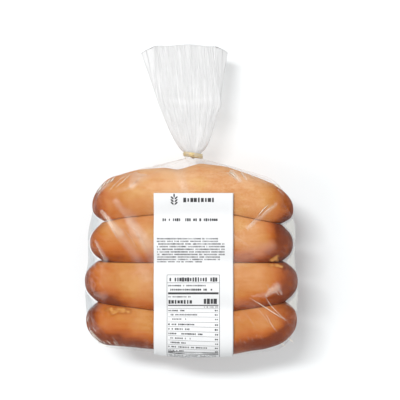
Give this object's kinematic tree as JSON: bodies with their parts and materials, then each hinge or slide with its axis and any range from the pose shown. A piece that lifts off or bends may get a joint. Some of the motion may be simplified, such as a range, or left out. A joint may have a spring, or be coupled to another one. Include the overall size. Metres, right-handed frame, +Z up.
{
  "type": "pack of hot dog buns",
  "caption": "clear film bag of soft hot dog buns in two layers, tied at the neck with a gold twist tie, with a plain white paper label; lies on its back",
  "frame": {"origin": "on the flat underside, below the middle of the block of buns", "axes": "+X along the buns, +Y from the bottom end towards the tied neck, +Z up, out of the label"},
  "size_m": [0.1712, 0.2521, 0.0964],
  "materials": {
    "film_and_crust": "thin clear film over golden-brown crust",
    "label_paper": "smooth white label paper",
    "tie_foil": "satin gold foil on paper"
  },
  "bodies": {
    "root": {"bag": "film_and_crust", "label": "label_paper", "twist_tie": "tie_foil"}
  },
  "joints": []
}
